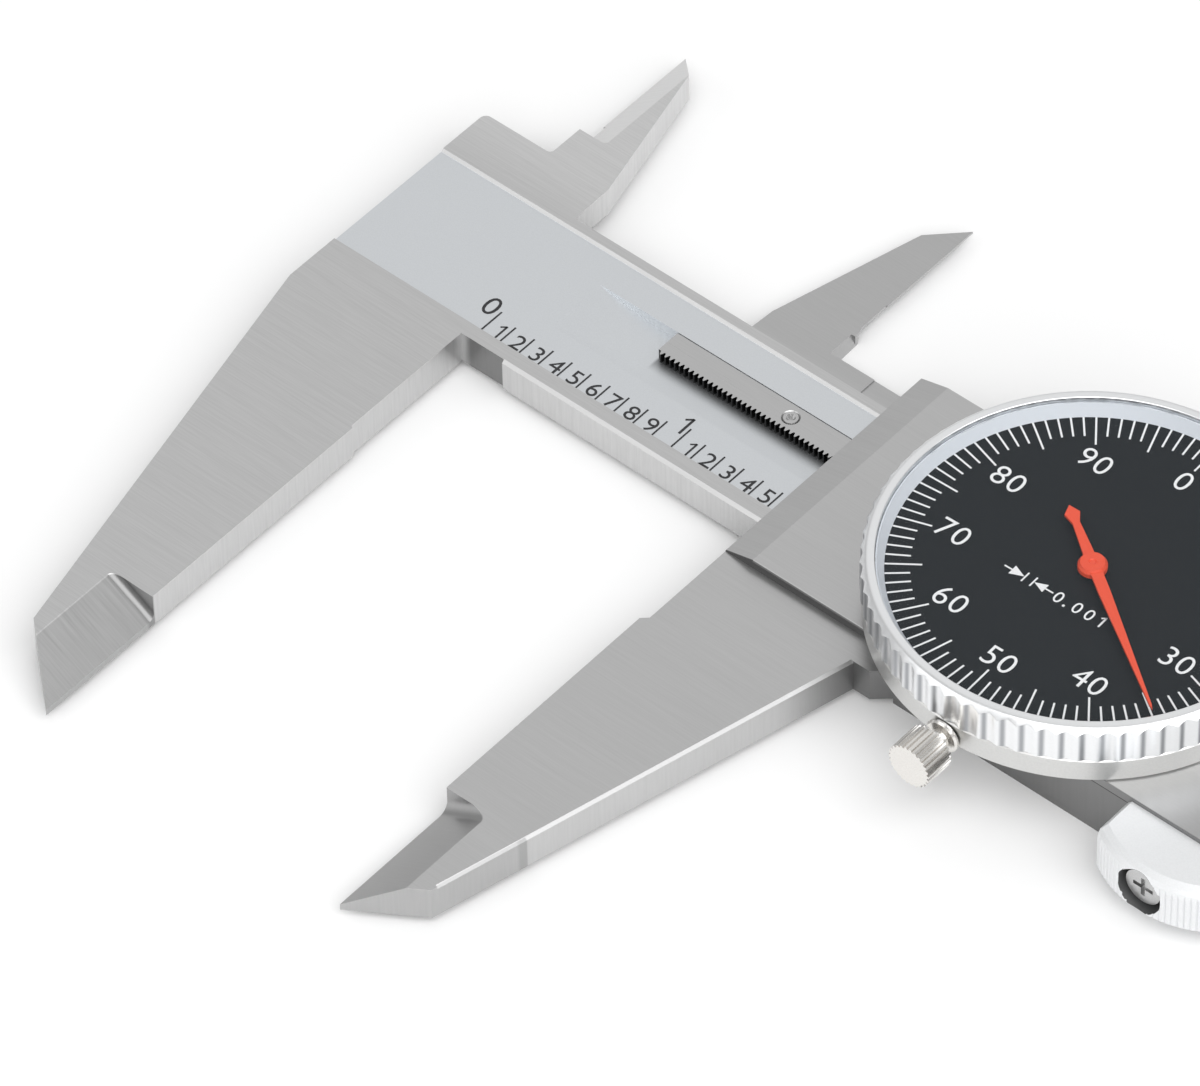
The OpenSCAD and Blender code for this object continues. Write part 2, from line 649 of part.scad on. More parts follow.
module gib_screws() {
  color([0.5, 0.5, 0.52]) in_frame() for (x = gib_screw_x) difference() {
    rod_y(x, slider_lock_z, screw_r - seat_gap, gib_out - 0.28, slider_half - 0.3);
    box([x - over, slider_half - 0.6, slider_lock_z - 0.12], [x + over, slider_half, slider_lock_z + 0.12]);
  }
}

// Shallow dial case: a floor and a ring wall.
module dial_case() {
  color([0.88, 0.88, 0.88]) in_frame() difference() {
    turned([dial_x, 0]) polygon([[case_hole, case_z], [case_r - 0.2, case_z], [case_r, case_z + 0.2],
      [case_r, case_top - 0.15], [case_r - 0.15, case_top], [case_in, case_top],
      [case_in, case_z + case_floor], [case_hole, case_z + case_floor]]);
    for (p = case_screw_at) rod_z(p, screw_r + 0.05, 0, lip_top);
    rod_y(dial_x, lock_z, 0.6 + bush_gap, -case_r - over, 0);
  }
}

module dial_case_screws() {
  color([0.5, 0.5, 0.52]) in_frame() for (p = case_screw_at)
    screw(p, case_z + case_floor + 0.4, case_floor + cover_t + chamber_h + plate_t + 1.8, head = 0.4, hr = 1.15);
}

// Base plate of the movement, with the lower bushes.
module movement_plate() {
  color([0.8, 0.66, 0.36]) in_frame() difference() {
    rod_z([dial_x, 0], movement_r, plate_top, plate_top + plate2_t);
    rod_z([drive_x, drive_y], drive_arbor_r + bush_gap, 0, case_z);
    rod_z([dial_x, 0], centre_arbor_r + bush_gap, 0, case_z);
    for (p = movement_screw_at) rod_z(p, screw_r + 0.05, 0, case_z);
  }
}

module movement_screws() {
  color([0.5, 0.5, 0.52]) in_frame()
    for (p = movement_screw_at) screw(p, plate_top + plate2_t + 0.5, plate2_t + 0.8, head = 0.5);
}

module movement_pillars() {
  color([0.8, 0.66, 0.36]) in_frame() for (p = pillars) difference() {
    rod_z(p, pillar_r, plate_top + plate2_t, bridge_z);
    rod_z(p, 0.5, bridge_z - 2, bridge_z + over);
  }
}

module movement_bridge() {
  color([0.8, 0.66, 0.36]) in_frame() difference() {
    translate([0, 0, bridge_z]) linear_extrude(bridge_t) union() {
      bar(pillars[0], pillars[1], 5);
      bar([drive_x, drive_y], pillars[2], 4);
    }
    rod_z([drive_x, drive_y], 0.35 + bush_gap, 0, lip_top);
    rod_z([dial_x, 0], centre_arbor_r + bush_gap, 0, lip_top);
    for (p = pillars) rod_z(p, 0.55, 0, lip_top);
  }
}

module bridge_screws() {
  color([0.45, 0.5, 0.6]) in_frame()
    for (p = pillars) screw(p, bridge_z + bridge_t + 0.4, bridge_t + 1.8, r = 0.5, hr = 1, head = 0.4);
}

// Depth rod in the beam's back groove, with a thinned tip.
module depth_rod() {
  tip = beam_end + opening;
  color([0.72, 0.73, 0.74]) in_frame() difference() {
    box([rod_x, -rod_w / 2, -slide_gap], [tip, rod_w / 2, rod_t]);
    box([rod_x + 21, -rod_w, -over], [tip + over, rod_w, 0.04]);
    // Notch that lets the tip reach into a filleted corner
    translate([tip, -rod_w / 2, -over]) rotate([0, 0, 45]) translate([-1.2, -1.2, 0]) cube([2.4, 2.4, 4]);
    for (p = rod_rivet_at) rod_z(p, rivet_r + seat_gap, -over, rod_t - 0.4);
  }
}

module depth_rod_rivets() {
  color([0.6, 0.6, 0.6]) in_frame() for (p = rod_rivet_at) rod_z(p, rivet_r, back_z, rod_t - 0.4);
}

// Thumb piece: a lens-shaped block, hollowed out next to the roller.
module thumb_bracket() {
  top = bracket_z + bracket_h;
  color([0.9, 0.9, 0.9]) in_frame() difference() {
    intersection() {
      translate([bracket_c[0], bracket_c[1], 0]) rotate_extrude($fn = 128) polygon([[0, bracket_z],
        [bracket_r - 0.6, bracket_z], [bracket_r, bracket_z + 0.6], [bracket_r, top - 1.3],
        [bracket_r - 0.15, top - 0.75], [bracket_r - 0.5, top - 0.3], [bracket_r - 1.2, top], [0, top]]);
      box([bracket_x, bracket_front - over, 0], [bracket_x + 18.3, -slider_half - 0.02, top + over]);
    }
    rod_z(roller_c, roller_r + 0.5, 0, top + over);
    rod_y(bracket_screw_x, bracket_hole_z, screw_r + 0.05, bracket_front - over, 0);
    rod_y(bracket_screw_x, bracket_hole_z, thumb_hole_r, bracket_front - over, bracket_seat);
    rod_y(bracket_pin_x, bracket_hole_z, screw_r, -slider_half - 3.1, 0);
    // Broken edge at the left end
    translate([bracket_x, bracket_front - over, top]) rotate([0, 0, 90]) edge_cut(bracket_r, 0.45);
    // Fine grip lines on the rounded front
    for (a = [-118.4 : 3 : -44])
      translate([bracket_c[0] + (bracket_r + 0.1) * cos(a), bracket_c[1] + (bracket_r + 0.1) * sin(a), 0])
        rotate(a) cylinder(r = 0.25, h = 12, $fn = 4);
  }
}

// Screw of the thumb piece, with a cross in its head.
module thumb_bracket_screw() {
  face = bracket_seat - 1.3;
  color([0.75, 0.75, 0.75]) in_frame() difference() {
    union() {
      rod_y(bracket_screw_x, bracket_hole_z, thumb_hole_r - 0.55, face, bracket_seat);
      rod_y(bracket_screw_x, bracket_hole_z, screw_r - seat_gap, bracket_seat - 0.1, -plate_half - 0.1);
    }
    translate([bracket_screw_x, face, bracket_hole_z]) {
      cube([2.4, 1.2, 0.5], center = true);
      cube([0.5, 1.2, 2.4], center = true);
    }
  }
}

// Dowel pin that keeps the thumb piece from turning on its screw.
module thumb_bracket_pin() {
  color([0.6, 0.6, 0.6]) in_frame()
    rod_y(bracket_pin_x, bracket_hole_z, screw_r - seat_gap, -slider_half - 3, -plate_half - 0.1);
}

module roller_pin() {
  color([0.6, 0.6, 0.6]) in_frame() rod_z(roller_c, roller_pin_r, back_z, plate_top);
}

// Arbor with the pinion that runs on the rack.
module drive_arbor() {
  p = [drive_x, drive_y];
  color([0.7, 0.7, 0.7]) in_frame() union() {
    toothed(p, rack_pinion_n, rack_pinion_r, rack_m, 90 + 180 / rack_pinion_n, groove_z + 0.1, beam_t - 0.1);
    rod_z(p, 1.1, beam_t - 0.15, plate_top - 0.1);
    rod_z(p, drive_arbor_r, groove_z + 0.3, bridge_z - 0.3);
    rod_z(p, 0.35, bridge_z - 0.4, bridge_z + bridge_t - 0.1);
  }
}

// Large wheel on the drive arbor, lightened by six holes.
module drive_wheel(z) {
  p = [drive_x, drive_y];
  difference() {
    toothed(p, drive_n, drive_r, gear_m, mesh_angle, z, z + gear_t);
    rod_z(p, drive_arbor_r + seat_gap, 0, lip_top);
    for (a = [0 : 60 : 300]) rod_z(p + 4.3 * [cos(a), sin(a)], 1.2, 0, lip_top);
  }
}

module drive_gear() {
  p = [drive_x, drive_y];
  color([0.82, 0.68, 0.38]) in_frame() union() {
    drive_wheel(gear_z);
    difference() {
      rod_z(p, 1.6, gear_z - 0.6, gear_z);
      rod_z(p, drive_arbor_r + seat_gap, 0, lip_top);
    }
  }
}

// Second wheel, held against the first by a spring, that takes up backlash.
module takeup_gear() {
  color([0.84, 0.7, 0.4]) in_frame() drive_wheel(gear_z + gear_t + 0.05);
}

// Open ring of wire that pushes the two wheels apart.
module takeup_spring() {
  color([0.6, 0.62, 0.66]) in_frame()
    translate([drive_x, drive_y, gear_z + 2 * gear_t + 0.05 + 0.2])
      rotate_extrude(angle = 300, $fn = 64) translate([2.2, 0]) circle(r = 0.18, $fn = 16);
}

module centre_arbor() {
  p = [dial_x, 0];
  color([0.7, 0.7, 0.7]) in_frame() union() {
    toothed(p, centre_n, centre_r, gear_m, mesh_angle + 180 + 180 / centre_n, gear_z - 0.3, gear_z + 2 * gear_t + 0.3);
    rod_z(p, centre_arbor_r, plate_top + 0.05, dial_top + 0.2);
    rod_z(p, 0.4, dial_top + 0.1, dial_top + 0.95);
  }
}

// Needle: a tapered blade, a round hub and a pointed tail.
module needle() {
  z = dial_top + 0.7;
  color([0.95, 0.3, 0.15]) in_frame() translate([dial_x, 0, 0]) rotate(needle_angle) difference() {
    union() {
      translate([0, 0, z]) linear_extrude(0.3) polygon([[-0.62, 0], [-0.6, 4], [-0.12, needle_len - 0.6],
        [0, needle_len], [0.12, needle_len - 0.6], [0.6, 4], [0.62, 0], [0.38, -needle_tail + 2.4],
        [0.8, -needle_tail + 1.1], [0, -needle_tail], [-0.8, -needle_tail + 1.1], [-0.38, -needle_tail + 2.4]]);
      rotate_extrude($fn = 64) polygon([[0, dial_top + 0.3], [hub_r, dial_top + 0.3], [hub_r, dial_top + 0.8],
        [hub_r - 0.25, dial_top + 1.2], [0, dial_top + 1.2]]);
    }
    translate([0, 0, dial_z]) cylinder(r = 0.4 + seat_gap, h = dial_t + 1);
    // Dimple in the hub
    rotate_extrude($fn = 48) polygon([[0, dial_top + 1.08], [0.3, dial_top + 1.08], [0.5, dial_top + 1.3],
      [0, dial_top + 1.3]]);
  }
}

// Bezel: a fluted band that rounds over into a lip, and a skirt that turns
// inside the case.
module bezel() {
  color([0.9, 0.9, 0.9]) in_frame() translate([dial_x, 0, 0]) difference() {
    union() {
      intersection() {
        translate([0, 0, band_z]) linear_extrude(lip_top - band_z)
          polygon(flute_points(bezel_flutes, bezel_r, flute_depth));
        rotate_extrude($fn = 128) polygon([[0, band_z - over], [bezel_r + 0.1, band_z - over],
          [bezel_r + 0.1, band_top - 0.1], [bezel_r - 0.3, band_top + 0.45], [bezel_r - 0.8, lip_top + 0.02],
          [0, lip_top + 0.02]]);
      }
      translate([0, 0, skirt_z]) cylinder(r = skirt_out, h = band_z - skirt_z + 0.1, $fn = 128);
    }
    translate([0, 0, dial_z]) cylinder(r = bezel_pocket, h = lip_top, $fn = 128);
    translate([0, 0, skirt_z - over]) cylinder(r = skirt_in, h = lip_top, $fn = 128);
    // Groove for the tip of the lock screw
    difference() {
      translate([0, 0, lock_z - 0.65]) cylinder(r = case_r, h = 1.3);
      translate([0, 0, lock_z - 0.65]) cylinder(r = skirt_out - 0.15, h = 1.3, $fn = 128);
    }
  }
}

module dial_face() {
  color([0.13, 0.14, 0.15]) in_frame() difference() {
    rod_z([dial_x, 0], ring_out, dial_z, dial_top);
    rod_z([dial_x, 0], 1.2, 0, lip_top);
  }
}

// Sloping ring between the dial face and the crystal.
module dial_ring() {
  color([0.85, 0.85, 0.85]) in_frame() turned([dial_x, 0])
    polygon([[dial_view, dial_top], [ring_out, dial_top], [ring_out, crystal_z], [ring_out - 0.15, crystal_z]]);
}

module crystal() {
  color([0.9, 0.95, 1, 0.3]) in_frame() rod_z([dial_x, 0], ring_out, crystal_z, crystal_z + crystal_t);
}

// Thumb roller that runs on the beam's lower edge.
module thumb_roller() {
  color([0.3, 0.3, 0.3]) in_frame() difference() {
    translate([roller_c[0], roller_c[1], roller_z]) linear_extrude(roller_t) polygon(flute_points(60, roller_r, 0.18));
    rod_z(roller_c, roller_pin_r + bush_gap, 0, case_z);
  }
}

// Knurled screw whose tip stops the bezel from turning.
module bezel_lock_screw() {
  front = lock_neck - knob_len;
  color([0.8, 0.78, 0.74]) in_frame() translate([dial_x, 0, lock_z]) rotate([90, 0, 0]) union() {
    translate([0, 0, -lock_neck]) linear_extrude(knob_len) polygon(flute_points(26, knob_r, 0.22));
    translate([0, 0, skirt_out - 0.12]) cylinder(r = 0.6, h = 1.8);
    rotate_extrude($fn = 48) polygon([[0, case_r + 0.08], [1.75, case_r + 0.08], [1.95, case_r + 0.28],
      [1.95, case_r + 0.5], [1.75, case_r + 0.7], [1.1, case_r + 0.85], [1.1, -lock_neck], [0, -lock_neck + 0.1]]);
  }
}

// Knurled screw that locks the slider on the beam.
module slider_lock_screw() {
  y0 = half_w + 1.9;
  color([0.8, 0.78, 0.74]) in_frame() translate([slider_lock_x, 0, slider_lock_z]) rotate([-90, 0, 0]) union() {
    translate([0, 0, y0]) cylinder(r = 1, h = slider_half + 1 - y0);
    translate([0, 0, slider_half + 0.6]) cylinder(r = 1.5, h = 0.9);
    translate([0, 0, slider_half + 1.4]) linear_extrude(5) polygon(flute_points(28, 2.8, 0.22));
  }
}

// Small brass shoe between the lock screw and the beam.
module lock_shoe() {
  color([0.8, 0.66, 0.36]) in_frame()
    rod_y(slider_lock_x, slider_lock_z, 0.95, rail_in + shoe_travel - slide_gap, half_w + 1.85);
}

beam();
rack();
rack_rivets();
end_stop();
end_stop_screws();
slider_body();
front_plate();
front_plate_screws();
cover();
cover_screws();
back_plate();
back_plate_screws();
gib();
gib_screws();
dial_case();
dial_case_screws();
movement_plate();
movement_screws();
movement_pillars();
movement_bridge();
bridge_screws();
depth_rod();
depth_rod_rivets();
thumb_bracket();
thumb_bracket_screw();
thumb_bracket_pin();
roller_pin();
drive_arbor();
drive_gear();
takeup_gear();
takeup_spring();
centre_arbor();
needle();
bezel();
dial_face();
dial_ring();
crystal();
thumb_roller();
bezel_lock_screw();
slider_lock_screw();
lock_shoe();
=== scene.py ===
"""Dial caliper: finishes, scale, dial printing, light and camera.

Sizes are written in millimetres in the caliper's own layout: X from the fixed
measuring face, Y from the beam's centre line, Z from the beam's back. at()
turns them into the frame's metres.
"""

import math

import bmesh
import bpy
from mathutils import Matrix, Vector


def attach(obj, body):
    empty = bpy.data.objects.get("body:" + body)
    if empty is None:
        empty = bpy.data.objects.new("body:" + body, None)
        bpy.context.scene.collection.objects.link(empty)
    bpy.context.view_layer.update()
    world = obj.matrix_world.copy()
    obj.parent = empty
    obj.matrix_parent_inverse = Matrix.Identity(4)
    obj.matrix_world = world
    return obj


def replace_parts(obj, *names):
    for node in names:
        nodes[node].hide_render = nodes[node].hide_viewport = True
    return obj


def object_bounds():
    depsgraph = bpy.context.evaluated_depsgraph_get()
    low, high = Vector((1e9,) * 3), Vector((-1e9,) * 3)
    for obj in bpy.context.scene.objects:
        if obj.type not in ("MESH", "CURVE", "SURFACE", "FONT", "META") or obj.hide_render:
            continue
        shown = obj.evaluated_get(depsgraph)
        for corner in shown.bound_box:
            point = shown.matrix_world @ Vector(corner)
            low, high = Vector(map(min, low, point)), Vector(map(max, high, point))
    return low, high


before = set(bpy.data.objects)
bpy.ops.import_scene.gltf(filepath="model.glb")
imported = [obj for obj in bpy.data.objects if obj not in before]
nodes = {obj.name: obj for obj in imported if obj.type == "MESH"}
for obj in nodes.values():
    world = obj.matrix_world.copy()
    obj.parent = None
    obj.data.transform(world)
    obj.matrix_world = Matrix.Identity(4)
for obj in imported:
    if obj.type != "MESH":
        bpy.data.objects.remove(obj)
cad_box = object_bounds()

MM = 0.001
FRAME_SHIFT = Vector((0.0, 41.6, -2.05))

# Levels and centres shared with the CAD model
RECESS_Z = 3.8
RECESS_LOW_Y = -8.0
RECESS_HIGH_Y = 8.6
SCALE_ZERO_X = 0.75
TENTH = 2.54
DIAL_X = 74.06
DIAL_TOP = 12.81


def at(x, y, z):
    """A point of the caliper's layout, in the frame's metres."""
    return (Vector((x, y, z)) + FRAME_SHIFT) * MM


def to_frame():
    """The layout's millimetres to the frame's metres, as a matrix."""
    return Matrix.Scale(MM, 4) @ Matrix.Translation(FRAME_SHIFT)


# ---------------------------------------------------------------- finishes

# The part of a noise's 0 to 1 that most of it fills
NOISE_RANGE = (0.3, 0.7)
# Steepest |normal Z| of a face that counts as upright
UPRIGHT_Z = 0.6
# Inputs a and b and the output of a Mix node, by what it mixes
MIX_SOCKETS = {"RGBA": (6, 7, 2), "FLOAT": (2, 3, 0)}


class Nodes:
    """A node tree under construction. Its values are sockets or constants."""

    def __init__(self, tree):
        self.tree = tree

    def add(self, kind, **values):
        """A new node with its properties set."""
        node = self.tree.nodes.new(kind)
        for name, value in values.items():
            setattr(node, name, value)
        return node

    def feed(self, target, value):
        """Links a socket to the target, or gives the target a constant."""
        if isinstance(value, bpy.types.NodeSocket):
            self.tree.links.new(value, target)
        else:
            target.default_value = value

    def maths(self, operation, a, b=None):
        """One arithmetic step."""
        node = self.add("ShaderNodeMath", operation=operation)
        self.feed(node.inputs[0], a)
        if b is not None:
            self.feed(node.inputs[1], b)
        return node.outputs[0]

    def vectors(self, operation, a, b=None):
        """One step with vectors; SCALE takes a number as b."""
        node = self.add("ShaderNodeVectorMath", operation=operation)
        self.feed(node.inputs[0], a)
        if b is not None:
            self.feed(node.inputs["Scale" if operation == "SCALE" else 1], b)
        return node.outputs["Value" if operation == "DOT_PRODUCT" else "Vector"]

    def parts(self, vector):
        """The X, Y and Z of a vector."""
        split = self.add("ShaderNodeSeparateXYZ")
        self.feed(split.inputs["Vector"], vector)
        return split.outputs

    def stretch(self, value, source, target, shape="LINEAR"):
        """Turns the range source into the range target, and stays within it."""
        node = self.add("ShaderNodeMapRange", interpolation_type=shape)
        self.feed(node.inputs["Value"], value)
        for name, limit in zip(("From Min", "From Max", "To Min", "To Max"), (*source, *target)):
            node.inputs[name].default_value = limit
        return node.outputs["Result"]

    def mix(self, kind, share, a, b):
        """Goes from a to b with share, for colours or for numbers."""
        first, second, result = MIX_SOCKETS[kind]
        node = self.add("ShaderNodeMix", data_type=kind)
        self.feed(node.inputs[0], share)
        self.feed(node.inputs[first], a)
        self.feed(node.inputs[second], b)
        return node.outputs[result]


class Finish(Nodes):
    """A material under construction: a Principled shader and its nodes."""

    def __init__(self, name, colour, roughness, metallic=0.0):
        self.material = bpy.data.materials.new(name)
        self.material.use_nodes = True
        super().__init__(self.material.node_tree)
        self.shader = self.tree.nodes["Principled BSDF"]
        self.set("Base Color", (*colour, 1.0))
        self.set("Roughness", roughness)
        self.set("Metallic", metallic)
        self.coords = self.add("ShaderNodeTexCoord").outputs["Object"]

    def set(self, name, value):
        """Gives an input of the shader its value."""
        self.feed(self.shader.inputs[name], value)

    def placed(self, scale, location=(0.0, 0.0, 0.0)):
        """The object's coordinates, scaled per axis and then moved."""
        node = self.add("ShaderNodeMapping")
        node.inputs["Location"].default_value = location
        node.inputs["Scale"].default_value = scale
        self.feed(node.inputs["Vector"], self.coords)
        return node.outputs["Vector"]

    def noise(self, scale, detail=2.0, roughness=0.5):
        """Noise over the object, with a scale per axis in 1/m."""
        node = self.add("ShaderNodeTexNoise")
        self.feed(node.inputs["Vector"], self.placed(scale))
        node.inputs["Scale"].default_value = 1.0
        node.inputs["Detail"].default_value = detail
        node.inputs["Roughness"].default_value = roughness
        return node.outputs["Fac"]

    def ramp(self, noise, low, high):
        """Stretches a noise to the range low to high."""
        return self.stretch(noise, NOISE_RANGE, (low, high))

    def tint(self, noise, dark, light):
        """Base colour between two tones, by a noise."""
        return self.mix("RGBA", self.ramp(noise, 0.0, 1.0), (*dark, 1.0), (*light, 1.0))

    def bump(self, height, distance, strength):
        """Relief in the shading, distance mm deep."""
        node = self.add("ShaderNodeBump")
        node.inputs["Distance"].default_value = distance * MM
        node.inputs["Strength"].default_value = strength
        self.feed(node.inputs["Height"], height)
        return node.outputs["Normal"]

    def normal(self):
        """The direction a face looks in."""
        return self.add("ShaderNodeNewGeometry").outputs["Normal"]

    def upright(self):
        """1 on faces that stand up, 0 on faces that lie flat."""
        flatness = self.maths("ABSOLUTE", self.parts(self.normal())["Z"])
        return self.maths("LESS_THAN", flatness, UPRIGHT_Z)

    def fade(self, value, start, full):
        """0 up to start, 1 from full on, and smooth between, either way round."""
        if start < full:
            return self.stretch(value, (start, full), (0.0, 1.0), "SMOOTHSTEP")
        return self.stretch(value, (full, start), (1.0, 0.0), "SMOOTHSTEP")

    def inside_bore(self, place, middle, radius):
        """1 within a radius of a line along Y through the middle."""
        square = []
        for index in (0, 2):
            off = self.maths("SUBTRACT", place[index], at(*middle)[index])
            square.append(self.maths("MULTIPLY", off, off))
        return self.maths("LESS_THAN", self.maths("ADD", *square), (radius * MM) ** 2)

    def paint_shading(self, colour, painted_shading):
        """Paints shade and light: darkens or lightens a colour in patches of the layout.

        A patch has its tone and its edges: an axis, where the patch starts
        along it, and where it is full. With walls it keeps to upright faces,
        and with a bore to the wall of a hole along Y.
        """
        place = self.parts(self.coords)
        for patch in painted_shading:
            mask = self.upright() if patch.get("walls") else 1.0
            for axis, start, full in patch.get("edges", ()):
                index = "xyz".index(axis)
                limits = [at(value, value, value)[index] for value in (start, full)]
                mask = self.maths("MULTIPLY", self.fade(place[index], *limits), mask)
            if "bore" in patch:
                mask = self.maths("MULTIPLY", self.inside_bore(place, *patch["bore"]), mask)
            # Each patch scales the colour by its tone: painted shade below 1, painted light above 1
            change = self.maths("MULTIPLY", mask, 1 - patch["tone"])
            colour = self.vectors("SCALE", colour, self.maths("SUBTRACT", 1.0, change))
        return colour


def grey(value, blue=0.0):
    """A grey, or one that leans to blue."""
    return (value * (1 - blue), value, value * (1 + blue))


def shade(colour, factor):
    """A colour made darker or lighter."""
    return tuple(min(1.0, channel * factor) for channel in colour)


# Painted shade and painted light, set by place: each patch draws the colour darker
# where shade falls on these faces and lighter where light falls. Edges in layout mm.
BEAM_PAINTED_SHADING = (
    # Painted shade on the fillet above the jaw's tip, and painted light on the tip's bevel
    {"tone": 0.5, "edges": (("y", -56.3, -56.5), ("z", 4.09, 4.0))},
    {"tone": 1.5, "edges": (("y", -57.1, -57.6), ("z", 4.09, 4.0))},
    # Painted light on the head and the inside jaw
    {"tone": 1.12, "edges": (("y", 8.0, 16.0),)},
    # Painted shade in the corner between the beam and the jaw
    {"tone": 0.4, "walls": True, "edges": (("x", 0.0, 1.0), ("x", 5.5, 5.4), ("y", -10.6, -9.8))},
    # Painted shade in the groove beside the rack's teeth
    {"tone": 0.45, "edges": (("z", 2.2, 2.4), ("z", 3.7, 3.2), ("x", 16.2, 16.6),
                             ("y", -0.4, 1.4), ("y", 2.5, 2.4))},
)
SLIDER_PAINTED_SHADING = (
    # Painted shade on the fillet above the jaw's tip, and painted light on the tip's bevel
    {"tone": 0.7, "edges": (("y", -56.3, -56.5), ("z", 4.13, 4.04))},
    {"tone": 1.2, "edges": (("y", -57.1, -57.6), ("z", 4.13, 4.04))},
    # Painted shade on the inside jaw
    {"tone": 0.92, "edges": (("y", 11.0, 14.0),)},
    # Painted shade on upright faces near the dial, and a painted shadow line at the joint with the
    # cover
    {"tone": 0.42, "walls": True, "edges": (("x", 47.0, 48.0), ("y", -28.0, -18.2))},
    {"tone": 0.3, "edges": (("x", 60.0, 61.0), ("y", -16.7, -16.75), ("z", 6.1, 6.16))},
)
# Painted shade along the plate's lower edge
PLATE_PAINTED_SHADE = ({"tone": 0.22, "edges": (("y", -15.18, -15.24),)},)
# Painted shade in the gaps between the rack's teeth
RACK_PAINTED_SHADE = ({"tone": 0.1, "walls": True, "edges": (("y", 2.1, 1.9),)},)
COVER_PAINTED_SHADE = (
    # Painted shade near the thumb piece, and along the lower edge
    {"tone": 0.74, "edges": (("x", 82.0, 92.0), ("y", -4.0, -12.0))},
    {"tone": 0.55, "edges": (("y", -16.7, -16.78),)},
)
# Painted shade on the wall of the hole of the thumb piece's screw
BRACKET_PAINTED_SHADE = ({"tone": 0.16, "bore": ((98.74, 0, 3.8), 2.665)},)


def grain(finish, along=150.0, across=5200.0):
    """Grinding marks: along X on the flat faces, and up the edge faces."""
    edge_across = across * 0.6
    flat = finish.noise((along, across, along), detail=3.0, roughness=0.65)
    edge = finish.noise((edge_across, edge_across, along), detail=3.0, roughness=0.65)
    return finish.mix("FLOAT", finish.upright(), flat, edge)


def ground_steel(name, value, roughness=0.36, spread=0.06, along=150.0, painted_shading=()):
    """Ground steel: fine grinding marks over broad, soft clouds of tone."""
    colour = grey(value)
    finish = Finish(name, colour, roughness, 1.0)
    fine = grain(finish, along)
    broad = finish.noise((25.0, 160.0, 160.0))
    both = finish.maths(
        "ADD", finish.maths("MULTIPLY", fine, 0.7), finish.maths("MULTIPLY", broad, 0.3))
    steel = finish.tint(both, shade(colour, 1 - spread), shade(colour, 1 + spread))
    finish.set("Base Color", finish.paint_shading(steel, painted_shading))
    finish.set("Roughness", finish.ramp(both, roughness - 0.05, roughness + 0.07))
    finish.set("Normal", finish.bump(fine, 0.004, 0.5))
    return finish.material


def scale_recess(finish):
    """1 on the floor of the recess for the scale, 0 elsewhere."""
    margin = 0.02
    place = finish.parts(finish.coords)
    below = finish.maths("LESS_THAN", place["Z"], at(0, 0, RECESS_Z + 0.05).z)
    above = finish.maths("GREATER_THAN", place["Z"], at(0, 0, 2.0).z)
    inside = finish.maths(
        "MULTIPLY",
        finish.maths("GREATER_THAN", place["Y"], at(0, RECESS_LOW_Y - margin, 0).y),
        finish.maths("LESS_THAN", place["Y"], at(0, RECESS_HIGH_Y + margin, 0).y))
    return finish.maths("MULTIPLY", finish.maths("MULTIPLY", below, above), inside)


def beam_steel():
    """Ground steel whose recess for the scale is satin chromed."""
    colour = grey(0.60)
    finish = Finish("beam_steel", colour, 0.36, 1.0)
    fine = grain(finish)
    speckle = finish.noise((9000.0,) * 3)
    chromed = scale_recess(finish)
    steel = finish.tint(fine, shade(colour, 0.93), shade(colour, 1.06))
    satin = finish.tint(speckle, grey(0.74, 0.03), grey(0.79, 0.03))
    both = finish.mix("RGBA", chromed, steel, satin)
    finish.set("Base Color", finish.paint_shading(both, BEAM_PAINTED_SHADING))
    finish.set("Roughness", finish.mix(
        "FLOAT", chromed, finish.ramp(fine, 0.31, 0.43), finish.ramp(speckle, 0.42, 0.5)))
    finish.set("Normal", finish.bump(fine, 0.004, 0.4))
    return finish.material


def turned_metal(name, colour, roughness, grain_scale=6000.0, spread=0.05, metallic=1.0, gloss=0.5,
                 painted_shading=()):
    """An even fine grain, for turned, blasted and painted pieces."""
    finish = Finish(name, colour, roughness, metallic)
    finish.set("Specular IOR Level", gloss)
    fine = finish.noise((grain_scale,) * 3, detail=3.0, roughness=0.6)
    tone = finish.tint(fine, shade(colour, 1 - spread), shade(colour, 1 + spread))
    finish.set("Base Color", finish.paint_shading(tone, painted_shading))
    finish.set("Roughness", finish.ramp(fine, roughness - 0.04, roughness + 0.05))
    finish.set("Normal", finish.bump(fine, 0.003, 0.4))
    return finish.material


def printed_ink(name, colour):
    """Screen-printed ink, slightly uneven."""
    finish = Finish(name, colour, 0.5)
    finish.set("Base Color", finish.tint(finish.noise((4000.0,) * 3), shade(colour, 0.92), colour))
    return finish.material


def bezel_metal():
    """Bright aluminium; of the two flats of a flute, one carries painted shade and is drawn darker.
    """
    colour = (0.92, 0.93, 0.94)
    painted_shade_flat = (0.40, 0.41, 0.43, 1.0)
    finish = Finish("bezel_aluminium", colour, 0.3, 1.0)
    fine = finish.noise((4000.0,) * 3, detail=3.0, roughness=0.6)
    # How far a face leans round the dial from straight outward
    outward = finish.vectors("NORMALIZE", finish.placed((1.0, 1.0, 0.0), -at(DIAL_X, 0, 0)))
    lean = finish.parts(finish.vectors("CROSS_PRODUCT", outward, finish.normal()))["Z"]
    # Painted shade: flats that lean one way round the dial take the darker colour
    side = finish.stretch(lean, (0.05, 0.25), (0.0, 1.0))
    bright = finish.tint(fine, shade(colour, 0.97), colour)
    finish.set("Base Color", finish.mix("RGBA", side, bright, painted_shade_flat))
    finish.set("Roughness", finish.ramp(fine, 0.28, 0.36))
    return finish.material


def crystal_acrylic():
    """Clear acrylic, thin enough to be drawn as a faint sheen."""
    finish = Finish("crystal_acrylic", (0.4, 0.45, 0.5), 0.04)
    finish.set("Alpha", 0.02)
    finish.set("IOR", 1.49)
    finish.set("Roughness", finish.ramp(finish.noise((300.0,) * 3), 0.03, 0.06))
    return finish.material


